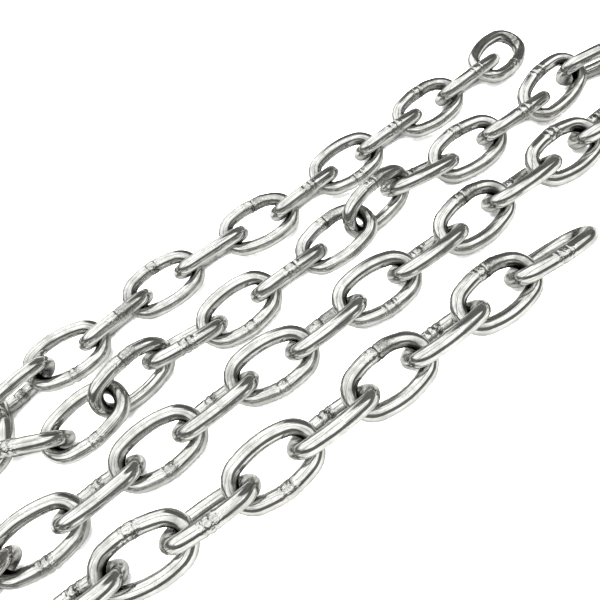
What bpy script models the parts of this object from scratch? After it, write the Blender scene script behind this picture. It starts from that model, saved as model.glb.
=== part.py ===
"""A length of short-link steel chain, laid back and forth in four runs on a level floor."""

import math

import bmesh
import bpy
import numpy as np
from mathutils import Matrix, Vector

# Sizes of one link, in millimetres. It is an oval of four arcs: each leg bows out a little,
# and turns by the bow angle either side of its middle before a tighter arc forms the end.
WIRE = 6.0
INSIDE_LENGTH = 24.0
INSIDE_WIDTH = 10.8
BOW_ANGLE = math.radians(15.0)

# How much further apart the centres of two hooked wires are than if they touched. It leaves
# a small gap between the facets that stand for the round wires. The slack is how much less
# than pulled tight the chain lies from link to link, and run A has some more of it.
PLAY = 0.32
SLACK = 0.18
RUN_A_SLACK = 0.4

# Facets. The corners' radius gives the section the area of the round wire.
SIDES = 10
LEG_STEPS = 3
END_STEPS = 8
CORNER = WIRE / 2 * math.sqrt(2 * math.pi / (SIDES * math.sin(2 * math.pi / SIDES)))
FLAT = CORNER * math.cos(math.pi / SIDES)

# The centreline of the wire, from the two half sizes of the oval.
HALF_LENGTH = (INSIDE_LENGTH + WIRE) / 2
HALF_WIDTH = (INSIDE_WIDTH + WIRE) / 2
BETWEEN_CENTRES = (HALF_LENGTH - HALF_WIDTH) / (math.cos(BOW_ANGLE) + math.sin(BOW_ANGLE) - 1)
END_CENTRE = BETWEEN_CENTRES * math.sin(BOW_ANGLE)
END_RADIUS = HALF_LENGTH - END_CENTRE
LEG_CENTRE = -BETWEEN_CENTRES * math.cos(BOW_ANGLE)
LEG_RADIUS = HALF_WIDTH - LEG_CENTRE
SPACING = INSIDE_LENGTH - PLAY - SLACK

# Steps from link to link in the first three runs. The last run has what is left of the chain.
CHAIN_STEPS = 51
A_STEPS = 10
B_STEPS = 10
C_STEPS = 11
BEND_STEPS = 4

# The runs in the order in which the chain goes through them, back and forth along X: how far
# across the run lies, and the middle of its length.
RUNS = {"A": (61.6, 56.2), "B": (29.3, 49.8), "C": (0.3, 34.6), "D": (-30.6, 3.6)}
RUN_SPACINGS = {"A": SPACING - RUN_A_SLACK, "B": SPACING, "C": SPACING, "D": SPACING}
RUN_STEPS = {
    "A": A_STEPS,
    "B": B_STEPS,
    "C": C_STEPS,
    "D": CHAIN_STEPS - A_STEPS - B_STEPS - C_STEPS - 3 * BEND_STEPS,
}

# Leans of the links about their length, in degrees seen along the chain, and how far across
# each lies from its run. In a run a flatter and a steeper link take turns.
FLATTER_SHIFT = 0.6
STEEPER_SHIFT = -0.6
LEANS = {
    "A": ((-25, FLATTER_SHIFT), (51, STEEPER_SHIFT)),
    "B": ((30, FLATTER_SHIFT), (-50, STEEPER_SHIFT)),
    "C": ((44, STEEPER_SHIFT), (-25, FLATTER_SHIFT)),
    "D": ((-49, STEEPER_SHIFT), (26, FLATTER_SHIFT)),
}

# At a bend three links turn by equal angles. The middle one lies flat, held up by the others.
BEND_LEANS = {"AB": (64, 0, -64), "BC": (-64, 10, -62), "CD": (62, -10, 64)}

# Links of run B that stand up between its two leans.
TURNED = {"B02": (74, STEEPER_SHIFT), "B07": (76, STEEPER_SHIFT)}

# Links that lie out of line: how far across from their run, and their swing in plan.
OUT_OF_LINE = {
    "A01": (4.0, 16),
    "A06": (-0.5, 4),
    "A07": (0.0, -10),
    "A08": (2.0, -4),
    "A09": (2.5, -4),
    "A10": (1.0, 4),
    "A11": (-0.5, -5),
    "B01": (-2.0, 3),
    "B02": (3.5, 14),
    "B03": (3.5, -5),
    "B04": (1.5, -2),
    "B06": (-0.5, 9),
    "B07": (3.0, 11),
    "B08": (4.5, -14),
    "B09": (0.5, -7),
    "B10": (-2.5, 0),
    "B11": (-1.5, 14),
    "C03": (-1.5, -5),
    "C04": (0.0, 4),
    "C05": (-1.0, -2),
    "C06": (0.0, -8),
    "C08": (0.5, -14),
    "C10": (1.0, -3),
    "C11": (0.5, 4),
    "D01": (4.0, -5),
    "D02": (5.0, -18),
    "D03": (1.0, -4),
    "D09": (-1.5, -8),
}

# Settling. A link turns about its own length less readily, because its neighbours hold it.
SETTLE_STEPS = 220
SINKING_STEPS = 160
SINK = 0.012
START_HEIGHT = 7.5
SAMPLES = 64
SAME_PLACE = 6
TURN_EASE = np.array((400.0, 110.0, 140.0))

MM = 0.001
UP = np.array((0.0, 0.0, 1.0))


def clear_scene():
    for obj in list(bpy.data.objects):
        bpy.data.objects.remove(obj)


def unit(heading):
    return np.array((math.cos(heading), math.sin(heading), 0.0))


def run_links(name):
    """(centre in plan, heading, lean) of each link of a run."""
    across, middle = RUNS[name]
    steps = RUN_STEPS[name]
    spacing = RUN_SPACINGS[name]
    way = 1 if list(RUNS).index(name) % 2 else -1
    heading = 0.0 if way > 0 else math.pi
    links = []
    straight = 0
    for k in range(steps + 1):
        key = f"{name}{k + 1:02d}"
        lean, aside = TURNED.get(key, LEANS[name][straight % 2])
        straight += key not in TURNED
        shift, swing = OUT_OF_LINE.get(key, (0, 0))
        along = middle + way * spacing * (k - steps / 2)
        centre = np.array((along, across + shift + aside, 0.0))
        links.append((centre, heading + math.radians(swing), math.radians(lean)))
    return links


def bend_links(before, after, leans):
    """The links from the end of one run to the start of the next, turning by equal angles."""
    start = before[0] + unit(before[1]) * SPACING / 2
    end = after[0] - unit(after[1]) * SPACING / 2
    gap = end - start
    turn = math.acos((np.linalg.norm(gap) / SPACING - 1) / 2)
    across = math.atan2(gap[1], gap[0])
    way = math.copysign(1, math.sin(across - before[1]))
    links = []
    place = start
    for k, lean in enumerate(leans):
        heading = across + way * (k - 1) * turn
        links.append((place + unit(heading) * SPACING / 2, heading, math.radians(lean)))
        place = place + unit(heading) * SPACING
    return links


def chain():
    """Every link before settling, from one end of the chain to the other."""
    names = list(RUNS)
    links = run_links(names[0])
    for before, after in zip(names, names[1:]):
        following = run_links(after)
        links += bend_links(links[-1], following[0], BEND_LEANS[before + after]) + following
    return links


def link_axes(heading, lean):
    """Axes of a link as columns: along it, across it in its own plane, and square to its plane."""
    along = unit(heading)
    across = math.cos(lean) * np.cross(UP, along) + math.sin(lean) * UP
    return np.stack((along, across, np.cross(along, across)), axis=1)


def section_places():
    """Places of the wire's sections round a link, about its own centre."""
    half = []
    for k in range(LEG_STEPS):
        turn = BOW_ANGLE * (2 * k / LEG_STEPS - 1)
        half.append((LEG_RADIUS * math.sin(turn), LEG_CENTRE + LEG_RADIUS * math.cos(turn), 0.0))
    for k in range(END_STEPS):
        turn = BOW_ANGLE + (math.pi - 2 * BOW_ANGLE) * k / END_STEPS
        half.append((END_CENTRE + END_RADIUS * math.sin(turn), END_RADIUS * math.cos(turn), 0.0))
    half = np.array(half)
    return np.concatenate((half, -half))


def centreline():
    """Points evenly round the centreline that runs from section to section."""
    places = section_places()
    places = np.concatenate((places, places[:1]))
    travel = np.concatenate(((0.0,), np.cumsum(np.linalg.norm(np.diff(places, axis=0), axis=1))))
    at = travel[-1] * np.arange(SAMPLES) / SAMPLES
    return np.stack([np.interp(at, travel, places[:, axis]) for axis in range(3)], axis=1)


def turned(axes, turn):
    """Each link's axes turned by its own rotation vector."""
    angle = np.linalg.norm(turn, axis=1)[:, None, None]
    x, y, z = (turn / np.maximum(angle[:, 0], 1e-12)).T
    zero = np.zeros_like(x)
    skew = np.stack((zero, -z, y, z, zero, -x, -y, x, zero), axis=1).reshape(-1, 3, 3)
    return (np.eye(3) + np.sin(angle) * skew + (1 - np.cos(angle)) * skew @ skew) @ axes


class Settling:
    """Links as stiff loops of wire, moved until none is too near the next or below the floor."""

    def __init__(self, links):
        self.loop = centreline()
        self.axes = np.array([link_axes(heading, lean) for _, heading, lean in links])
        self.centres = np.array([centre for centre, _, _ in links])
        lean_heights = [HALF_WIDTH * abs(math.sin(lean)) + FLAT for _, _, lean in links]
        self.centres[:, 2] = np.maximum(lean_heights, START_HEIGHT)

    def points(self):
        return self.loop @ self.axes.transpose(0, 2, 1) + self.centres[:, None]

    def arms(self, which, at, way):
        """Each push's turning arm about the link's own axes."""
        arms = np.cross(at - self.centres[which], way)
        return (self.axes[which].transpose(0, 2, 1) @ arms[..., None])[..., 0]

    def ease(self, which, at, way):
        return 1.0 + (self.arms(which, at, way) ** 2 / TURN_EASE).sum(axis=1)

    def push(self, which, at, way, amount):
        """Pushes each of these links at a point. It moves and turns by its own inertia."""
        turn = (self.axes[which] @ (self.arms(which, at, way) / TURN_EASE)[..., None])[..., 0]
        self.centres[which] += amount[:, None] * way
        self.axes[which] = turned(self.axes[which], amount[:, None] * turn)

    def part_neighbours(self):
        """Pushes each two neighbours apart at the two places where they are nearest."""
        points = self.points()
        first = np.arange(len(points) - 1)
        apart = np.linalg.norm(points[:-1, :, None] - points[1:, None], axis=3)
        for _ in range(2):
            nearest = apart.reshape(len(first), -1).argmin(axis=1)
            a, b = np.divmod(nearest, SAMPLES)
            depth = np.maximum(WIRE + PLAY - apart[first, a, b], 0.0)
            here, there = points[first, a], points[first + 1, b]
            way = (here - there) / np.linalg.norm(here - there, axis=1)[:, None]
            amount = depth / (self.ease(first, here, way) + self.ease(first + 1, there, way))
            self.push(first, here, way, amount)
            self.push(first + 1, there, way, -amount)
            steps = np.abs(np.arange(SAMPLES)[None] - a[:, None])
            near = np.minimum(steps, SAMPLES - steps) < SAME_PLACE
            apart = np.where(near[:, :, None], np.inf, apart)

    def lift_to_floor(self):
        """Lifts the lower leg of each link, at each of its ends, to the floor."""
        every = np.arange(len(self.centres))
        up = np.broadcast_to(UP, self.centres.shape)
        for half in (self.loop[:, 0] > 0, self.loop[:, 0] < 0):
            points = self.points()
            height = np.where(half, points[:, :, 2] - FLAT, np.inf)
            low = height.argmin(axis=1)
            at = points[every, low]
            amount = np.maximum(-height[every, low], 0.0) / self.ease(every, at, up)
            self.push(every, at, up, amount)

    def run(self):
        for step in range(SETTLE_STEPS):
            if step < SINKING_STEPS:
                self.centres[:, 2] -= SINK
            self.part_neighbours()
            self.lift_to_floor()


def facet_turn(axes):
    """How far the wire's section is turned, so that a link's lower leg lies on a facet."""
    step = 2 * math.pi / SIDES
    angle = math.atan2(-axes[2, 2], abs(axes[2, 1]))
    return (angle + step / 2) % step - step / 2


def carry_round(bm, ring, centre, angle, steps):
    """Carries a section round an arc in the link's plane, and returns the section at its end."""
    spun = bmesh.ops.spin(
        bm,
        geom=ring,
        cent=(centre[0] * MM, centre[1] * MM, 0),
        axis=(0, 0, -1),
        angle=angle,
        steps=steps,
    )
    return [item for item in spun["geom_last"] if isinstance(item, bmesh.types.BMEdge)]


def link_mesh(name, turn):
    """One link about its own centre: a round section carried along each leg and round each end."""
    mesh = bpy.data.meshes.new(name)
    bm = bmesh.new()
    on_arc = Matrix.Rotation(BOW_ANGLE, 4, "Z") @ Matrix.Translation((0, LEG_RADIUS * MM, 0))
    start = Matrix.Translation((0, LEG_CENTRE * MM, 0)) @ on_arc
    upright = Matrix.Rotation(math.radians(90), 4, "Y") @ Matrix.Rotation(math.radians(90), 4, "Z")
    section = Matrix.Rotation(turn + math.pi / SIDES - math.pi / 2, 4, "Z")
    bmesh.ops.create_circle(bm, segments=SIDES, radius=CORNER * MM, matrix=start @ upright @ section)
    ring = bm.edges[:]
    for side in (1, -1):
        ring = carry_round(bm, ring, (0, side * LEG_CENTRE), 2 * BOW_ANGLE, LEG_STEPS)
        ring = carry_round(bm, ring, (side * END_CENTRE, 0), math.pi - 2 * BOW_ANGLE, END_STEPS)
    bmesh.ops.remove_doubles(bm, verts=bm.verts, dist=0.001 * MM)
    bmesh.ops.recalc_face_normals(bm, faces=bm.faces)
    bm.to_mesh(mesh)
    bm.free()
    mesh.shade_smooth()
    return mesh


def steel():
    material = bpy.data.materials.new("polished stainless steel")
    material.use_nodes = True
    shader = material.node_tree.nodes["Principled BSDF"]
    shader.inputs["Base Color"].default_value = (0.55, 0.55, 0.53, 1.0)
    shader.inputs["Metallic"].default_value = 1.0
    shader.inputs["Roughness"].default_value = 0.22
    return material


def add_link(name, centre, axes, material):
    mesh = link_mesh(name, facet_turn(axes))
    mesh.materials.append(material)
    link = bpy.data.objects.new(name, mesh)
    link.matrix_world = Matrix.Translation(centre * MM) @ Matrix(axes).to_4x4()
    bpy.context.scene.collection.objects.link(link)
    return link


def put_middle_on_origin(links):
    """Moves the chain so that its middle in plan, on the floor, is the origin."""
    corners = np.array([link.matrix_world @ vertex.co for link in links for vertex in link.data.vertices])
    low, high = corners.min(axis=0), corners.max(axis=0)
    for link in links:
        link.location -= Vector(((low[0] + high[0]) / 2, (low[1] + high[1]) / 2, low[2]))


def main():
    clear_scene()
    settling = Settling(chain())
    settling.run()
    material = steel()
    links = []
    for number, (centre, axes) in enumerate(zip(settling.centres, settling.axes), 1):
        links.append(add_link(f"link_{number:02d}", centre, axes, material))
    put_middle_on_origin(links)


main()
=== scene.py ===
"""Looks of a length of short-link stainless steel chain, laid back and forth in four runs.

Each link is a round wire bent to an oval and welded in the middle of one leg. The three
operators for links model one pattern each, by the form of its weld, and lay a copy of it
where each CAD link is.
"""

import math

import bpy
import numpy as np
from bpy.props import FloatProperty, FloatVectorProperty, IntProperty, PointerProperty, StringProperty
from mathutils import Matrix, Vector


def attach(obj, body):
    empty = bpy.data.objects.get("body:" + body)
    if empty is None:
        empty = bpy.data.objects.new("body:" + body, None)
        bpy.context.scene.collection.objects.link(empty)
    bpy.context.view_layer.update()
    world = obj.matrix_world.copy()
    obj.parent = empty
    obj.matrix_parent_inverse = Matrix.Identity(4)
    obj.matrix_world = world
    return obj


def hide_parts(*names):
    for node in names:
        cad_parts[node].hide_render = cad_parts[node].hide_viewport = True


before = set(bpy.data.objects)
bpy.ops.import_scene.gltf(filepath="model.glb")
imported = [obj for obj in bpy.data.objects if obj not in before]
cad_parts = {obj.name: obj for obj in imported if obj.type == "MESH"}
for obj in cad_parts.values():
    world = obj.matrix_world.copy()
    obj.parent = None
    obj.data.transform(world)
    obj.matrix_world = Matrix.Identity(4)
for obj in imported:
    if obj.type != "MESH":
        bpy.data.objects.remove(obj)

bl_info = {
    "name": "Welded chain looks",
    "version": (1, 0, 0),
    "blender": (4, 5, 0),
    "location": "View3D > Sidebar > Chain",
    "description": "Round welded links, their steel and a plain studio round the CAD chain",
    "category": "Add Mesh",
}

MM = 0.001
FAR, NEAR = 1, -1

# Which leg of a link has the weld: the one further along +Y, or the nearer one.
RING_WELDS = {
    1: NEAR, 3: FAR, 7: FAR, 10: NEAR, 13: FAR, 16: FAR, 20: FAR, 21: FAR, 26: NEAR,
    31: FAR, 32: FAR, 35: FAR, 43: FAR, 49: FAR, 51: FAR,
}
BAND_WELDS = {
    2: NEAR, 5: NEAR, 8: FAR, 9: FAR, 12: FAR, 15: NEAR, 18: NEAR, 19: NEAR, 23: FAR, 25: FAR,
    27: NEAR, 29: FAR, 33: FAR, 34: NEAR, 36: NEAR, 38: NEAR, 41: NEAR, 45: FAR, 47: NEAR, 52: NEAR,
}
LUMP_WELDS = {
    4: NEAR, 6: NEAR, 11: NEAR, 14: NEAR, 17: NEAR, 22: FAR, 24: NEAR, 28: FAR, 30: FAR,
    37: FAR, 39: FAR, 40: NEAR, 42: FAR, 44: FAR, 46: NEAR, 48: FAR, 50: FAR,
}

# Sections along the welded leg: distance from its middle in millimetres, and the wire's
# thickness there as a share of the plain wire's. The weld relief setting makes them stronger.
RING_PROFILE = (
    (-7.5, 1.0), (-5.6, 1.0), (-4.2, 1.002), (-3.0, 1.006), (-2.2, 1.01), (-1.8, 1.006), (-1.6, 0.998),
    (-1.4, 1.004), (-1.0, 1.011), (-0.4, 1.014), (0.2, 1.016), (0.6, 1.017), (0.85, 1.008),
    (1.0, 0.985), (1.15, 0.972), (1.3, 0.974), (1.45, 0.992), (1.7, 1.004), (2.1, 1.008), (2.5, 1.002),
    (3.0, 0.997), (4.0, 0.994), (5.2, 0.994), (6.4, 0.997), (8.0, 1.0),
)
BAND_PROFILE = (
    (-7.5, 1.0), (-5.6, 1.0), (-4.4, 1.0), (-3.6, 1.0), (-3.2, 1.003), (-2.9, 1.012), (-2.5, 1.012),
    (-2.2, 1.0), (-2.0, 0.985), (-1.8, 0.988), (-1.5, 1.008), (-1.0, 1.015), (-0.4, 1.018),
    (0.2, 1.018), (0.8, 1.015), (1.3, 1.005), (1.5, 0.988), (1.7, 0.985), (1.9, 1.0), (2.2, 1.01),
    (2.6, 1.008), (3.0, 1.0), (4.0, 1.0), (5.0, 1.0), (6.4, 1.0), (8.0, 1.0),
)
LUMP_PROFILE = (
    (-7.5, 1.0), (-5.6, 1.0), (-4.6, 1.0), (-3.9, 1.005), (-3.4, 1.015), (-2.9, 1.02), (-2.5, 1.01),
    (-2.2, 0.992), (-1.9, 0.985), (-1.6, 1.0), (-1.2, 1.025), (-0.7, 1.035), (-0.2, 1.032),
    (0.2, 1.02), (0.45, 0.998), (0.65, 0.988), (0.9, 1.0), (1.3, 1.02), (1.8, 1.025), (2.3, 1.015),
    (2.7, 1.0), (3.1, 0.994), (3.8, 1.0), (4.8, 1.0), (6.4, 1.0), (8.0, 1.0),
)

# Slight kinks left by bending and by the welder's clamps. Each is a place on the link, how
# far the wire there is pulled, and how far from there that reaches, all in millimetres.
RING_PULLS = (
    ((5.8, 7.9), (0.1, 0.45), 4.6),
    ((-3.0, 8.3), (0.0, 0.12), 4.0),
    ((0.0, -8.4), (0.0, -0.10), 8.0),
)
BAND_PULLS = (
    ((-2.0, 8.4), (0.0, 0.12), 6.0),
    ((4.5, -8.1), (0.0, -0.10), 6.0),
)
LUMP_PULLS = (
    ((2.0, 8.4), (0.0, 0.15), 6.0),
    ((-3.0, -8.3), (0.0, -0.08), 7.0),
)

# How matte the welder's heat left the steel: distance from the weld's middle in millimetres,
# and a share between 0 and 1.
RING_HEAT = ((-3.6, 0.0), (-2.8, 0.12), (0.3, 0.12), (1.4, 0.25), (2.2, 0.7), (6.0, 0.75), (11.0, 0.0))
BAND_HEAT = ((-3.4, 0.0), (-2.2, 0.15), (2.0, 0.15), (3.4, 0.0))
LUMP_HEAT = ((-4.0, 0.0), (-2.4, 0.2), (1.2, 0.2), (3.6, 0.0))

# Dark residue starts where a listed thickness is under this share, and is full this much below.
MARK_STARTS, MARK_SPAN = 0.995, 0.03

# How far along the wire the weld roughened it, and how softly that ends.
ZONE_REACH, ZONE_FADE = 4.2 * MM, 1.5 * MM

# Where along the wire the scorched patch is, how softly it ends, and how deep it goes.
SCORCH_PLACE, SCORCH_FADE, SCORCH_DEPTH = 0.9 * MM, 1.1 * MM, 1.8 * MM

# Painted shade inside a round end, where the next link rests: how far from the middle of the round end it
# reaches, its fade, and its depth.
END_SHADE_REACH, END_SHADE_FADE, END_SHADE_DEPTH = 8.5 * MM, 4.0 * MM, 2.8 * MM

# A kink takes hold of the wire this far either side of its place.
KINK_HOLD = 0.5 * MM

# Vertices nearer to each other than this are one.
SAME_PLACE = 0.002 * MM


def length(name, description, default):
    """A property for a length in metres."""
    return FloatProperty(
        name=name, description=description, default=default, unit="LENGTH", subtype="DISTANCE", precision=5
    )


def angle(name, description, degrees):
    """A property for an angle."""
    return FloatProperty(
        name=name, description=description, default=math.radians(degrees), unit="ROTATION", subtype="ANGLE"
    )


def factor(name, description, default):
    """A property for a share between 0 and 1."""
    return FloatProperty(name=name, description=description, default=default, min=0, max=1, subtype="FACTOR")


def on_sphere(name, description, default, least=0.0):
    """A property for a size or height in the tent, measured on a unit sphere."""
    return FloatProperty(name=name, description=description, default=default, min=least)


def hex_colour(name, description, default):
    """A property for a colour."""
    return StringProperty(name=name, description=description + ", as sRGB hex", default=default)


class LinkSizes(bpy.types.PropertyGroup):
    wire: length("Wire", "Diameter of the round wire", 5.7 * MM)
    inside_length: length("Inside length", "Clear length of a link's eye", 24.3 * MM)
    inside_width: length("Inside width", "Clear width of a link's eye", 11.1 * MM)
    bow: angle("Bow", "How far a leg turns either side of its middle", 15)
    sides: IntProperty(name="Sides", description="Facets round the wire", default=36, min=12)
    end_steps: IntProperty(name="End steps", description="Facets round each end", default=34, min=8)
    leg_steps: IntProperty(name="Leg steps", description="Facets along the plain leg", default=14, min=2)
    relief: FloatProperty(
        name="Weld relief", description="How much stronger than listed welds stand out", default=2.3, min=0
    )
    wave: length("Wave", "Height of the gentle unevenness of the wire's surface", 0.07 * MM)
    wave_size: length("Wave size", "Size of one patch of that unevenness", 4.5 * MM)
    dent: length("Dents", "Height of the small dents from handling", 0.022 * MM)
    dent_size: length("Dent size", "Size of one small dent", 1.3 * MM)


class SteelFinish(bpy.types.PropertyGroup):
    steel: hex_colour("Steel", "Polished steel seen face on", "#E2E2E0")
    worn: hex_colour("Worn steel", "Steel dulled by handling", "#C6C6C3")
    heated: hex_colour("Heated steel", "Steel dulled by the welder's heat", "#71716D")
    grime: hex_colour("Grime", "Dark residue in the weld's marks", "#3B3934")
    # Painted shade: a near-black colour inside each round end, where the next link rests.
    shade_painted: hex_colour("Painted end shade", "Steel inside a round end, where the next link rests", "#3A3936")
    gloss: factor("Polish", "Roughness where the steel is bright", 0.07)
    dull: factor("Worn polish", "Roughness where the steel is worn", 0.2)
    matte: factor("Heated polish", "Roughness beside a weld", 0.38)
    patch_size: length("Patch size", "Size of one dull patch", 5.0 * MM)
    line_gap: length("Die line gap", "Space from one die line to the next", 0.45 * MM)
    line_squeeze: factor("Die line squeeze", "A die line's gap as a share of its length", 0.03)
    line_depth: length("Die line depth", "Height of the die lines", 0.02 * MM)
    pit_size: length("Pit size", "Size of one tiny pit", 0.7 * MM)
    pit_depth: length("Pit depth", "Height of the tiny pits", 0.04 * MM)
    blotch_size: length("Blotch size", "Size of one blotch of the weld's surface", 1.6 * MM)
    blotch_depth: length("Blotch depth", "Height of the weld's blotches", 0.35 * MM)
    speckle_size: length("Speckle size", "Size of one speckle in the heated steel", 0.6 * MM)
    # Size of one patch of that painted shade inside the round ends.
    end_shade_patch_size: length("End shade patch size", "Size of one patch of the rubbed steel", 2.5 * MM)


class StudioSettings(bpy.types.PropertyGroup):
    camera_place: FloatVectorProperty(
        name="Camera",
        description="Where the camera stands",
        default=(-0.0544, -0.1403, 0.1852),
        subtype="TRANSLATION",
    )
    azimuth: angle("Azimuth", "Way the camera faces, from +Y to +X", 16.5)
    down: angle("Down", "How far the camera looks down", 50.69)
    roll: angle("Roll", "Turn of the camera about its view", -23.15)
    lens: FloatProperty(name="Lens", description="Focal length in millimetres", default=37.2, min=1)
    sensor: FloatProperty(name="Sensor", description="Sensor width in millimetres", default=36.0, min=1)
    floor: hex_colour("Floor", "The matte white floor", "#FAFAF9")
    table: hex_colour("Table", "The grey that the steel reflects from below", "#6B6B69")
    floor_width: length("Floor width", "Width of the floor and of the table", 6.0)
    floor_drop: length("Floor drop", "How far under the chain's floor the seen one lies", 0.2 * MM)
    table_drop: length("Table drop", "How far under the chain's floor the reflected one lies", 0.1 * MM)
    tent: hex_colour("Tent", "White cloth of the tent", "#FAFAF8")
    tent_seam: hex_colour("Tent seam", "The seam along the tent's ridge", "#6A6A68")
    room: hex_colour("Room", "The room seen under the tent's edge", "#5A5A58")
    tent_strength: FloatProperty(name="Tent strength", description="Light from the tent", default=1.6, min=0)
    cloth_patch: on_sphere("Cloth patch", "Size of one brighter patch of the cloth", 0.35, 0.01)
    opening_edge: on_sphere("Opening edge", "Height of the tent's edge", 0.48)
    opening_tilt: on_sphere("Opening tilt", "How much lower that edge is at the far side", 0.22)
    opening_blur: on_sphere("Opening blur", "Softness of that edge", 0.07, 0.001)
    ridge: on_sphere("Ridge", "Place of the tent's seam along Y", 0.05, -1.0)
    seam: on_sphere("Seam", "Width of the dark of that seam", 0.06)
    doorway_way: FloatVectorProperty(
        name="Doorway",
        description="Where the tent is open to a dark doorway",
        default=(0.74, 0.48, 0.47),
        subtype="DIRECTION",
    )
    doorway_edge: angle("Doorway size", "Angle from its middle to its edge", 33)
    doorway_blur: angle("Doorway blur", "Width of its soft edge", 8)
    overhead_place: FloatVectorProperty(
        name="Overhead fill",
        description="Where the soft light overhead is",
        default=(-0.1, 0.1, 1.0),
        subtype="TRANSLATION",
    )
    overhead_power: FloatProperty(
        name="Overhead power", description="Power of the light overhead", default=110, min=0, unit="POWER"
    )
    front_place: FloatVectorProperty(
        name="Front fill",
        description="Where the soft light in front is",
        default=(-0.2, -1.0, 0.7),
        subtype="TRANSLATION",
    )
    front_power: FloatProperty(
        name="Front power", description="Power of the light in front", default=25, min=0, unit="POWER"
    )


def linear(hex_code):
    """sRGB hex to linear RGBA."""
    channels = [int(hex_code[i : i + 2], 16) / 255 for i in (1, 3, 5)]
    return (*((c / 12.92 if c <= 0.04045 else ((c + 0.055) / 1.055) ** 2.4) for c in channels), 1.0)


def add_node(tree, kind, inputs=None, **settings):
    """Adds a node, sets its settings, and links or sets its inputs."""
    made = tree.nodes.new(kind)
    for name, value in settings.items():
        setattr(made, name, value)
    for key, value in (inputs or {}).items():
        if isinstance(value, bpy.types.NodeSocket):
            tree.links.new(value, made.inputs[key])
        else:
            made.inputs[key].default_value = value
    return made


def new_material(name):
    """A material with an empty node tree but for its output and a Principled shader."""
    material = bpy.data.materials.new(name)
    material.use_nodes = True
    tree = material.node_tree
    return material, tree, tree.nodes["Principled BSDF"]


def mapped(tree, value, low, high, to_low, to_high):
    """A value's range mapped to another, without going outside it."""
    inputs = {"Value": value, "From Min": low, "From Max": high, "To Min": to_low, "To Max": to_high}
    return add_node(tree, "ShaderNodeMapRange", inputs).outputs["Result"]


def mixed(tree, share, first, second):
    """Two colours mixed."""
    made = add_node(tree, "ShaderNodeMix", data_type="RGBA")
    for socket, value in zip((made.inputs[0], made.inputs[6], made.inputs[7]), (share, first, second)):
        if isinstance(value, bpy.types.NodeSocket):
            tree.links.new(value, socket)
        else:
            socket.default_value = value
    return made.outputs[2]


def noise(tree, place, size, detail=3.0, roughness=0.5):
    """Noise whose patches have this size in metres."""
    inputs = {"Vector": place, "Scale": 1 / size, "Detail": detail, "Roughness": roughness}
    return add_node(tree, "ShaderNodeTexNoise", inputs).outputs["Fac"]


def reckoned(tree, operation, *values):
    """One or two values put through a sum."""
    return add_node(tree, "ShaderNodeMath", dict(enumerate(values)), operation=operation).outputs["Value"]


def multiplied(tree, first, second):
    """Two values multiplied."""
    return reckoned(tree, "MULTIPLY", first, second)


def share_along(tree, way, direction):
    """How far one vector goes along another."""
    made = add_node(tree, "ShaderNodeVectorMath", {0: way, 1: direction}, operation="DOT_PRODUCT")
    return made.outputs["Value"]


def bumped(tree, height, strength, distance, below=None):
    """A bump on top of the one below it."""
    inputs = {"Strength": strength, "Distance": distance, "Height": height}
    if below:
        inputs["Normal"] = below
    return add_node(tree, "ShaderNodeBump", inputs).outputs["Normal"]


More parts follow.
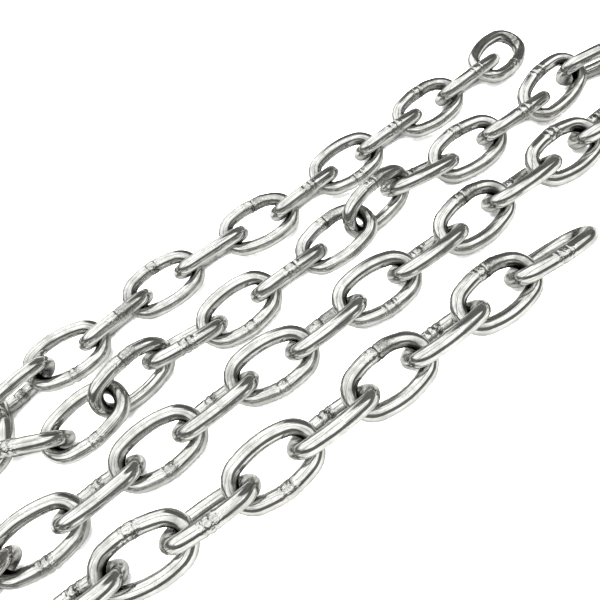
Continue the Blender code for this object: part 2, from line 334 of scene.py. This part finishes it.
def polished_steel(finish):
    """Austenitic stainless wire, drawn, bent, welded and then tumbled bright.

    Tumbling leaves a mirror with faint lines along the wire from the drawing die, soft dull
    patches from handling, and grey matte steel beside each weld, where it was heated. The
    weld's marks and its scorched patch stay dark. The inside of the round ends, where the next
    link rests, gets painted shade.
    """
    material, tree, shader = new_material("stainless steel, tumbled bright")
    place = add_node(tree, "ShaderNodeTexCoord").outputs["Object"]
    wire = add_node(tree, "ShaderNodeAttribute", attribute_name="drawn_wire").outputs["Vector"]
    heat = add_node(tree, "ShaderNodeAttribute", attribute_name="weld_heat").outputs["Fac"]
    mark = add_node(tree, "ShaderNodeAttribute", attribute_name="weld_mark").outputs["Fac"]
    zone = add_node(tree, "ShaderNodeAttribute", attribute_name="weld_zone").outputs["Fac"]
    # The share of painted shade inside the round ends.
    end_shade_mask = add_node(tree, "ShaderNodeAttribute", attribute_name="painted_end_shade").outputs["Fac"]
    scorch = add_node(tree, "ShaderNodeAttribute", attribute_name="weld_scorch").outputs["Fac"]

    # Die lines come out about 15 mm long. Real ones are finer, and wouldn't show.
    patches = mapped(tree, noise(tree, place, finish.patch_size, 4.0, 0.6), 0.42, 0.66, 0.0, 1.0)
    squeeze = {"Vector": wire, "Scale": (finish.line_squeeze, 1.0, 1.0)}
    stretched = add_node(tree, "ShaderNodeMapping", squeeze).outputs["Vector"]
    die_lines = noise(tree, stretched, finish.line_gap, 2.0, 0.6)
    pits = noise(tree, place, finish.pit_size, 3.0, 0.65)
    blotches = noise(tree, place, finish.blotch_size, 2.0, 0.6)
    speckle = mapped(tree, noise(tree, place, finish.speckle_size, 2.0, 0.6), 0.42, 0.58, 0.3, 1.0)
    matte = multiplied(tree, heat, speckle)

    worn = mixed(tree, patches, linear(finish.steel), linear(finish.worn))
    lined = mixed(tree, mapped(tree, die_lines, 0.52, 0.70, 0.0, 0.7), worn, linear(finish.heated))
    heated = mixed(tree, matte, lined, linear(finish.heated))
    dirty = mixed(tree, multiplied(tree, mark, 0.85), heated, linear(finish.grime))
    # Painted shade inside the round ends, where the next link rests, in patches.
    end_shade_patches = mapped(tree, noise(tree, place, finish.end_shade_patch_size, 3.0, 0.6), 0.35, 0.6, 0.55, 0.95)
    scorched = mixed(tree, multiplied(tree, scorch, speckle), dirty, linear(finish.grime))
    shade_painted = mixed(tree, multiplied(tree, end_shade_mask, end_shade_patches), scorched, linear(finish.shade_painted))
    tree.links.new(shade_painted, shader.inputs["Base Color"])

    by_patch = mapped(tree, patches, 0.0, 1.0, finish.gloss, finish.dull)
    rough = add_node(tree, "ShaderNodeMix", data_type="FLOAT")
    tree.links.new(matte, rough.inputs[0])
    tree.links.new(by_patch, rough.inputs[2])
    rough.inputs[3].default_value = finish.matte
    tree.links.new(rough.outputs[0], shader.inputs["Roughness"])

    lines = bumped(tree, die_lines, 0.45, finish.line_depth)
    fine = bumped(tree, pits, 0.35, finish.pit_depth, lines)
    welded = bumped(tree, blotches, zone, finish.blotch_depth, fine)
    tree.links.new(welded, shader.inputs["Normal"])
    shader.inputs["Metallic"].default_value = 1.0
    return material


def matte_paint(colour, name):
    """Emulsion on board. The roller leaves a faint orange-peel a few millimetres across."""
    material, tree, shader = new_material(name)
    place = add_node(tree, "ShaderNodeTexCoord").outputs["Object"]
    peel = noise(tree, place, 3.0 * MM, 2.0)
    tree.links.new(bumped(tree, peel, 0.05, 0.05 * MM), shader.inputs["Normal"])
    shader.inputs["Base Color"].default_value = linear(colour)
    shader.inputs["Roughness"].default_value = 0.8
    shader.inputs["Specular IOR Level"].default_value = 0.2
    return material


def only(obj):
    """Selects this object alone, in object mode."""
    if bpy.context.mode != "OBJECT":
        bpy.ops.object.mode_set(mode="OBJECT")
    bpy.ops.object.select_all(action="DESELECT")
    obj.select_set(True)
    bpy.context.view_layer.objects.active = obj


def oval(sizes):
    """The four arcs of the wire's centreline: middles and radii of its legs and of its ends."""
    half_length = (sizes.inside_length + sizes.wire) / 2
    half_width = (sizes.inside_width + sizes.wire) / 2
    between = (half_length - half_width) / (math.cos(sizes.bow) + math.sin(sizes.bow) - 1)
    end_middle = between * math.sin(sizes.bow)
    leg_middle = -between * math.cos(sizes.bow)
    return {
        "bow": sizes.bow,
        "end_middle": end_middle,
        "end_radius": half_length - end_middle,
        "leg_middle": leg_middle,
        "leg_radius": half_width - leg_middle,
    }


def carry(middle, angle, steps=1):
    """Carries the selected ring round an arc in the link's plane."""
    bpy.ops.mesh.spin(steps=steps, angle=angle, center=(*middle, 0), axis=(0, 0, 1))


def on_leg(arcs, turn):
    """Where the welded leg's centreline is, this far round its arc from its middle."""
    radius = arcs["leg_radius"]
    return (radius * math.sin(turn), arcs["leg_middle"] + radius * math.cos(turn), 0)


def carry_along_weld(arcs, profile, relief):
    """Carries the ring along the welded leg, and gives it each section's thickness there."""
    turn, thickness = -arcs["bow"], 1.0
    for place, share in (*profile, (arcs["leg_radius"] * arcs["bow"] / MM, 1.0)):
        ahead = place * MM / arcs["leg_radius"]
        carry((0, arcs["leg_middle"]), ahead - turn)
        share = 1 + relief * (share - 1)
        change = share / thickness
        bpy.ops.transform.resize(value=(change, change, change), center_override=on_leg(arcs, ahead))
        turn, thickness = ahead, share


def kink(obj, place, pull, reach):
    """Pulls the wire at one place, and less and less around it."""
    bpy.ops.mesh.select_all(action="DESELECT")
    bpy.ops.object.mode_set(mode="OBJECT")
    side = [v for v in obj.data.vertices if v.co.y * place[1] > 0]
    near = [v for v in side if abs(v.co.x - place[0] * MM) < KINK_HOLD]
    for vertex in near:
        vertex.select = True
    bpy.ops.object.mode_set(mode="EDIT")
    bpy.ops.transform.translate(
        value=(pull[0] * MM, pull[1] * MM, 0),
        use_proportional_edit=True,
        proportional_edit_falloff="LINEAR",
        proportional_size=reach * MM,
    )


def along_wire(points, arcs):
    """How far round the centreline each point is from the middle of the welded leg, and how far
    outside it."""
    x, y = points[:, 0], points[:, 1]
    half_leg = arcs["leg_radius"] * arcs["bow"]
    leg_turn = np.arctan2(x, np.abs(y) - arcs["leg_middle"])
    end_turn = np.arctan2(y, np.abs(x) - arcs["end_middle"])
    half_end = math.pi / 2 - arcs["bow"]
    on_end = np.abs(leg_turn) > arcs["bow"]
    round_end = np.sign(x) * (half_leg + arcs["end_radius"] * (half_end - end_turn))
    whole_half = np.sign(x) * (2 * half_leg + 2 * arcs["end_radius"] * half_end)
    on_welded = arcs["leg_radius"] * leg_turn
    travel = np.where(on_end, round_end, np.where(y > 0, on_welded, whole_half - on_welded))
    from_leg = np.hypot(x, np.abs(y) - arcs["leg_middle"]) - arcs["leg_radius"]
    from_end = np.hypot(np.abs(x) - arcs["end_middle"], y) - arcs["end_radius"]
    return travel, np.where(on_end, from_end, from_leg)


def note(mesh, name, kind, values):
    """Stores one value for each vertex."""
    attribute = mesh.attributes.new(name, kind, "POINT")
    field = "vector" if kind == "FLOAT_VECTOR" else "value"
    attribute.data.foreach_set(field, np.ravel(values).astype(np.float32))


def note_wire(obj, arcs, profile, heat):
    """Notes on the pattern where each vertex was on the straight wire, and what the welder did there."""
    mesh = obj.data
    points = np.empty(len(mesh.vertices) * 3)
    mesh.vertices.foreach_get("co", points)
    points = points.reshape(-1, 3)
    travel, outside = along_wire(points, arcs)
    note(mesh, "drawn_wire", "FLOAT_VECTOR", np.stack((travel, outside, points[:, 2]), axis=1))
    places, shares = np.array(heat).T
    note(mesh, "weld_heat", "FLOAT", np.interp(travel / MM, places, shares))
    places, widths = np.array(profile).T
    groove = np.clip((MARK_STARTS - np.interp(travel / MM, places, widths)) / MARK_SPAN, 0, 1)
    note(mesh, "weld_mark", "FLOAT", groove)
    note(mesh, "weld_zone", "FLOAT", np.clip((ZONE_REACH - np.abs(travel)) / ZONE_FADE, 0, 1))

    # The welder's heat leaves a scorched patch at the joint, on the side towards the eye.
    at_joint = np.clip(1.5 - np.abs(travel - SCORCH_PLACE) / SCORCH_FADE, 0, 1)
    note(mesh, "weld_scorch", "FLOAT", at_joint * np.clip(-0.1 - outside / SCORCH_DEPTH, 0, 1))

    # Painted shade on the inside of a round end, where the next link rests.
    to_end = arcs["leg_radius"] * arcs["bow"] + arcs["end_radius"] * (math.pi / 2 - arcs["bow"])
    near_end = np.clip((END_SHADE_REACH - np.abs(np.abs(travel) - to_end)) / END_SHADE_FADE, 0, 1)
    inside = np.clip(0.45 - 0.55 * outside / END_SHADE_DEPTH, 0, 1)
    note(mesh, "painted_end_shade", "FLOAT", near_end * inside)


def link_pattern(name, sizes, profile, pulls, heat):
    """Models one link about its own middle. Its weld is in the middle of its +Y leg."""
    arcs = oval(sizes)
    bpy.ops.object.select_all(action="DESELECT")
    bpy.ops.mesh.primitive_circle_add(
        vertices=sizes.sides,
        radius=sizes.wire / 2,
        location=on_leg(arcs, -sizes.bow),
        rotation=(math.radians(90), 0, math.radians(90) + sizes.bow),
    )
    pattern = bpy.context.object
    pattern.name = pattern.data.name = name
    bpy.ops.object.transform_apply(location=True, rotation=True, scale=True)
    bpy.ops.object.mode_set(mode="EDIT")
    bpy.ops.mesh.select_all(action="SELECT")
    end_turn = math.pi - 2 * sizes.bow
    carry_along_weld(arcs, profile, sizes.relief)
    carry((arcs["end_middle"], 0), end_turn, sizes.end_steps)
    carry((0, -arcs["leg_middle"]), 2 * sizes.bow, sizes.leg_steps)
    carry((-arcs["end_middle"], 0), end_turn, sizes.end_steps)
    bpy.ops.mesh.select_all(action="SELECT")
    bpy.ops.mesh.remove_doubles(threshold=SAME_PLACE)
    bpy.ops.mesh.normals_make_consistent(inside=False)
    bpy.ops.object.mode_set(mode="OBJECT")
    note_wire(pattern, arcs, profile, heat)
    bpy.ops.object.mode_set(mode="EDIT")
    for place, pull, reach in pulls:
        kink(pattern, place, pull, reach)
    bpy.ops.object.mode_set(mode="OBJECT")
    bpy.ops.object.shade_smooth()
    return pattern


def node_points(number):
    """The places of a CAD link's vertices, each once."""
    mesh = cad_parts[f"link_{number:02d}"].data
    points = np.empty(len(mesh.vertices) * 3)
    mesh.vertices.foreach_get("co", points)
    return np.unique(points.reshape(-1, 3).round(7), axis=0)


def link_place(number, weld_leg):
    """Where a CAD link is: its middle, and its axes along it, across it and square to it."""
    points = node_points(number)
    middle = points.mean(axis=0)
    _, axes = np.linalg.eigh(np.cov((points - middle).T))
    along, across = axes[:, 2], axes[:, 1]
    along = along if along[0] > 0 else -along
    across = across if across[1] * weld_leg > 0 else -across
    turn = Matrix(np.stack((along, across, np.cross(along, across)), axis=1)).to_4x4()
    return Matrix.Translation(middle) @ turn


def roughen(obj, name, height, size):
    """Displaces the surface a little, by a soft noise of this size."""
    texture = bpy.data.textures.get(name) or bpy.data.textures.new(name, "CLOUDS")
    texture.noise_scale = size
    texture.noise_depth = 1
    modifier = obj.modifiers.new(name, "DISPLACE")
    modifier.texture = texture
    modifier.texture_coords = "LOCAL"
    modifier.strength = height
    modifier.mid_level = 0.5
    bpy.ops.object.modifier_apply(modifier=name)


def lay_copy(pattern, number, weld_leg, sizes, steel):
    """Lays a copy of a pattern where a CAD link is, with its own small unevenness."""
    only(pattern)
    bpy.ops.object.duplicate(linked=False)
    link = bpy.context.object
    link.name = link.data.name = f"welded_link_{number:02d}"
    link.matrix_world = link_place(number, weld_leg)
    bpy.ops.object.transform_apply(location=True, rotation=True, scale=True)
    roughen(link, "wire waves", sizes.wave, sizes.wave_size)
    roughen(link, "handling dents", sizes.dent, sizes.dent_size)
    link.data.materials.clear()
    link.data.materials.append(steel)
    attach(link, "root")
    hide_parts(f"link_{number:02d}")


def lay_links(context, name, profile, pulls, welds, heat):
    """Models one pattern and lays a copy of it at each of its CAD links."""
    scene = context.scene
    material = bpy.data.materials.get("stainless steel, tumbled bright") or polished_steel(scene.steel_finish)
    pattern = link_pattern(name, scene.link_sizes, profile, pulls, heat)
    for number, weld_leg in welds.items():
        lay_copy(pattern, number, weld_leg, scene.link_sizes, material)
    bpy.data.objects.remove(pattern)


class CHAIN_OT_ring_weld_links(bpy.types.Operator):
    """Lay the links whose weld shows one tight ring, with matte steel on one side of it"""

    bl_idname = "chain.ring_weld_links"
    bl_label = "Links with a ringed weld"

    def execute(self, context):
        lay_links(context, "ringed_weld_pattern", RING_PROFILE, RING_PULLS, RING_WELDS, RING_HEAT)
        return {"FINISHED"}


class CHAIN_OT_band_weld_links(bpy.types.Operator):
    """Lay the links whose weld was pressed to a low even band between two clamp marks"""

    bl_idname = "chain.band_weld_links"
    bl_label = "Links with a banded weld"

    def execute(self, context):
        lay_links(context, "banded_weld_pattern", BAND_PROFILE, BAND_PULLS, BAND_WELDS, BAND_HEAT)
        return {"FINISHED"}


class CHAIN_OT_lump_weld_links(bpy.types.Operator):
    """Lay the links whose weld stands out as an uneven lump"""

    bl_idname = "chain.lump_weld_links"
    bl_label = "Links with a lumpy weld"

    def execute(self, context):
        lay_links(context, "lumpy_weld_pattern", LUMP_PROFILE, LUMP_PULLS, LUMP_WELDS, LUMP_HEAT)
        return {"FINISHED"}


def tent_world(studio):
    """A white tent round the chain, with a seam along its ridge. It is open low down, where the
    room is darker, higher up towards the photographer, and at a doorway that the links' right
    ends reflect."""
    world = bpy.data.worlds.new("white tent")
    world.use_nodes = True
    tree = world.node_tree
    way = add_node(tree, "ShaderNodeTexCoord").outputs["Generated"]
    height = share_along(tree, way, (0.0, studio.opening_tilt, 1.0))
    low, high = studio.opening_edge - studio.opening_blur, studio.opening_edge + studio.opening_blur
    tent = mapped(tree, height, low, high, 0.0, 1.0)
    across = add_node(tree, "ShaderNodeSeparateXYZ", {0: way}).outputs["Y"]
    off_seam = reckoned(tree, "ABSOLUTE", reckoned(tree, "SUBTRACT", across, studio.ridge))
    seam = mapped(tree, off_seam, studio.seam / 2, studio.seam, 1.0, 0.0)
    cloth = mapped(tree, noise(tree, way, studio.cloth_patch, 2.0), 0.35, 0.65, 0.85, 1.1)
    sewn = mixed(tree, seam, linear(studio.tent), linear(studio.tent_seam))
    from_middle = share_along(tree, way, Vector(studio.doorway_way).normalized())
    edge, blur = studio.doorway_edge, studio.doorway_blur
    doorway = mapped(tree, from_middle, math.cos(edge + blur / 2), math.cos(edge - blur / 2), 1.0, 0.0)
    colour = mixed(tree, multiplied(tree, tent, doorway), linear(studio.room), sewn)
    background = tree.nodes["Background"]
    tree.links.new(colour, background.inputs["Color"])
    tree.links.new(multiplied(tree, cloth, studio.tent_strength), background.inputs["Strength"])
    return world


def add_softbox(name, place, size, energy):
    """A soft light that faces the chain's middle. Reflections don't show it."""
    turn = (-Vector(place)).to_track_quat("-Z", "Y")
    bpy.ops.object.light_add(type="AREA", location=place, rotation=turn.to_euler())
    light = bpy.context.object
    light.name = light.data.name = name
    light.data.shape = "RECTANGLE"
    light.data.size, light.data.size_y = size
    light.data.energy = energy
    light.visible_glossy = False


def add_floor(name, material, studio):
    """A wide plane under the chain."""
    bpy.ops.object.select_all(action="DESELECT")
    bpy.ops.mesh.primitive_plane_add(size=studio.floor_width, location=(0, 0, 0))
    floor = bpy.context.object
    floor.name = floor.data.name = name
    floor.data.materials.append(material)
    return floor


def add_camera(studio):
    """The camera at the photograph's viewing angle."""
    azimuth, down, roll = studio.azimuth, studio.down, studio.roll
    ahead = Vector((math.sin(azimuth) * math.cos(down), math.cos(azimuth) * math.cos(down), -math.sin(down)))
    right = Vector((math.cos(azimuth), -math.sin(azimuth), 0))
    turn = Matrix((right, right.cross(ahead), -ahead)).transposed().to_4x4()
    data = bpy.data.cameras.new("camera")
    data.lens, data.sensor_width, data.clip_start = studio.lens, studio.sensor, 10 * MM
    camera = bpy.data.objects.new("camera", data)
    camera.matrix_world = Matrix.Translation(studio.camera_place) @ turn @ Matrix.Rotation(roll, 4, "Z")
    bpy.context.scene.collection.objects.link(camera)
    bpy.context.scene.camera = camera


class CHAIN_OT_studio(bpy.types.Operator):
    """Add the floor, the soft lights and the camera"""

    bl_idname = "chain.studio"
    bl_label = "Studio"

    def execute(self, context):
        studio = context.scene.studio_settings
        white = matte_paint(studio.floor, "matte white paint, rolled")
        seen = add_floor("floor", white, studio)
        seen.visible_glossy = False
        grey = matte_paint(studio.table, "matte grey paint, rolled")
        reflected = add_floor("reflected_table", grey, studio)
        reflected.visible_camera = reflected.visible_diffuse = reflected.visible_shadow = False
        reflected.location.z = -studio.table_drop
        seen.location.z = -studio.floor_drop
        add_softbox("overhead fill", studio.overhead_place, (1.2, 1.2), studio.overhead_power)
        add_softbox("front fill", studio.front_place, (1.2, 0.8), studio.front_power)
        context.scene.world = tent_world(studio)
        context.scene.view_settings.view_transform = "Standard"
        add_camera(studio)
        return {"FINISHED"}


class CHAIN_PT_panel(bpy.types.Panel):
    """Sizes, finish and operators of the chain"""

    bl_idname = "CHAIN_PT_panel"
    bl_label = "Welded chain"
    bl_space_type = "VIEW_3D"
    bl_region_type = "UI"
    bl_category = "Chain"

    def draw(self, context):
        layout = self.layout
        for group in (context.scene.link_sizes, context.scene.steel_finish, context.scene.studio_settings):
            box = layout.box()
            for name in group.__annotations__:
                box.prop(group, name)
        for operator in OPERATORS:
            layout.operator(operator.bl_idname)


OPERATORS = (CHAIN_OT_ring_weld_links, CHAIN_OT_band_weld_links, CHAIN_OT_lump_weld_links, CHAIN_OT_studio)
CLASSES = (LinkSizes, SteelFinish, StudioSettings, *OPERATORS, CHAIN_PT_panel)


def register():
    for each in CLASSES:
        bpy.utils.register_class(each)
    bpy.types.Scene.link_sizes = PointerProperty(type=LinkSizes)
    bpy.types.Scene.steel_finish = PointerProperty(type=SteelFinish)
    bpy.types.Scene.studio_settings = PointerProperty(type=StudioSettings)


def unregister():
    del bpy.types.Scene.link_sizes, bpy.types.Scene.steel_finish, bpy.types.Scene.studio_settings
    for each in reversed(CLASSES):
        bpy.utils.unregister_class(each)


def main():
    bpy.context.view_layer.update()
    register()
    bpy.ops.chain.ring_weld_links()
    bpy.ops.chain.band_weld_links()
    bpy.ops.chain.lump_weld_links()
    bpy.ops.chain.studio()


if __name__ == "__main__":
    main()
